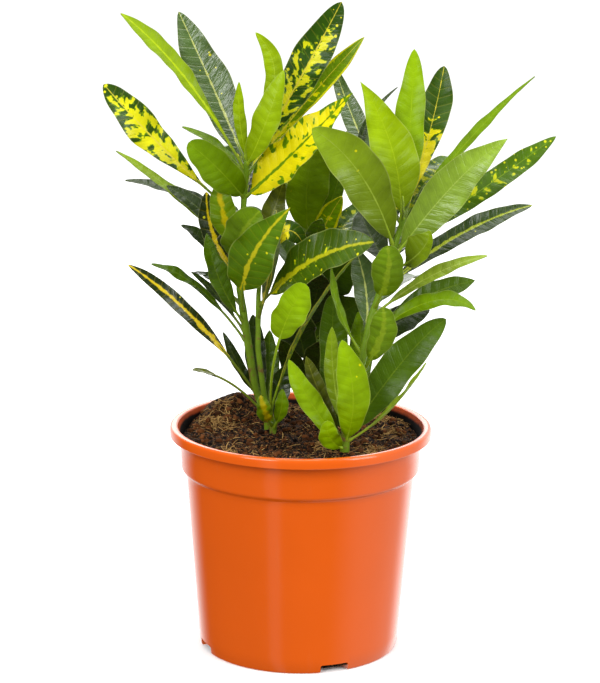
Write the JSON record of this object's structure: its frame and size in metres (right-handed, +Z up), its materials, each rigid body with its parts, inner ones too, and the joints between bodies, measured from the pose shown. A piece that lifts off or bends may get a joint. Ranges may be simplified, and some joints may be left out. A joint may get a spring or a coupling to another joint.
{
  "type": "potted croton",
  "caption": "Croton with long waved leaves on upright leafy stems, growing in a tapered round plastic nursery pot filled with soil.",
  "frame": {"origin": "centre of the underside of the pot, on the surface it stands on", "axes": "+Z up along the pot's axis, +X to the right and -Y towards a viewer who looks at the plant's best side"},
  "size_m": [0.2857, 0.1896, 0.4212],
  "materials": {
    "pot": "glossy thin polypropylene, terracotta orange",
    "soil": "damp crumbly peat with tan fibres",
    "foliage": "leathery leaves with a waxy sheen, from lime to dark green with yellow markings"
  },
  "bodies": {
    "root": {"pot": "pot", "soil": "soil", "left_stem": "foliage", "left_shoot": "foliage", "right_stem": "foliage", "rear_stem": "foliage"}
  },
  "joints": []
}
